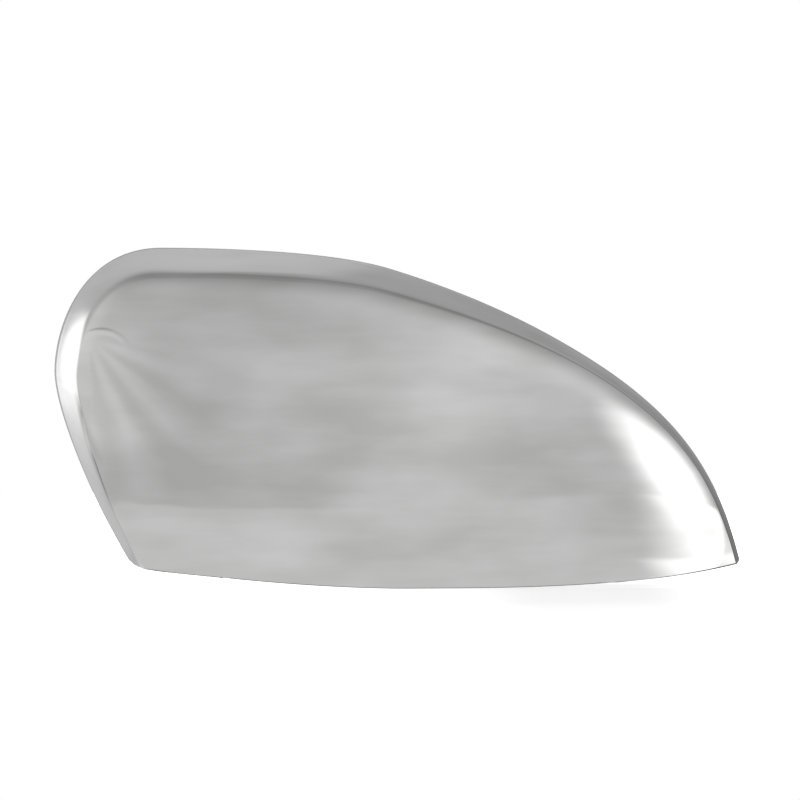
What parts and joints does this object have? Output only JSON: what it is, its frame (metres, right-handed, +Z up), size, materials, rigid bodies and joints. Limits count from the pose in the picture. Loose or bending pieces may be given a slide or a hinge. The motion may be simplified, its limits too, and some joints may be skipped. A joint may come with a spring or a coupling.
{
  "type": "wing mirror cover",
  "caption": "Pressed polished steel cover for a car's wing mirror: a curved shell, round at one end and pointed at the other, open at the back and along the bottom.",
  "frame": {"origin": "middle of the open back, in the plane of the rear rim, where the mirror housing goes in", "axes": "+X along the cover towards its pointed end, +Y out of the open back towards the car's rear, +Z up as fitted on the car; the face bulges towards -Y"},
  "size_m": [0.241, 0.066, 0.1188],
  "materials": {
    "polished_steel": "polished"
  },
  "bodies": {
    "root": {"cover_shell": "polished_steel"}
  },
  "joints": []
}
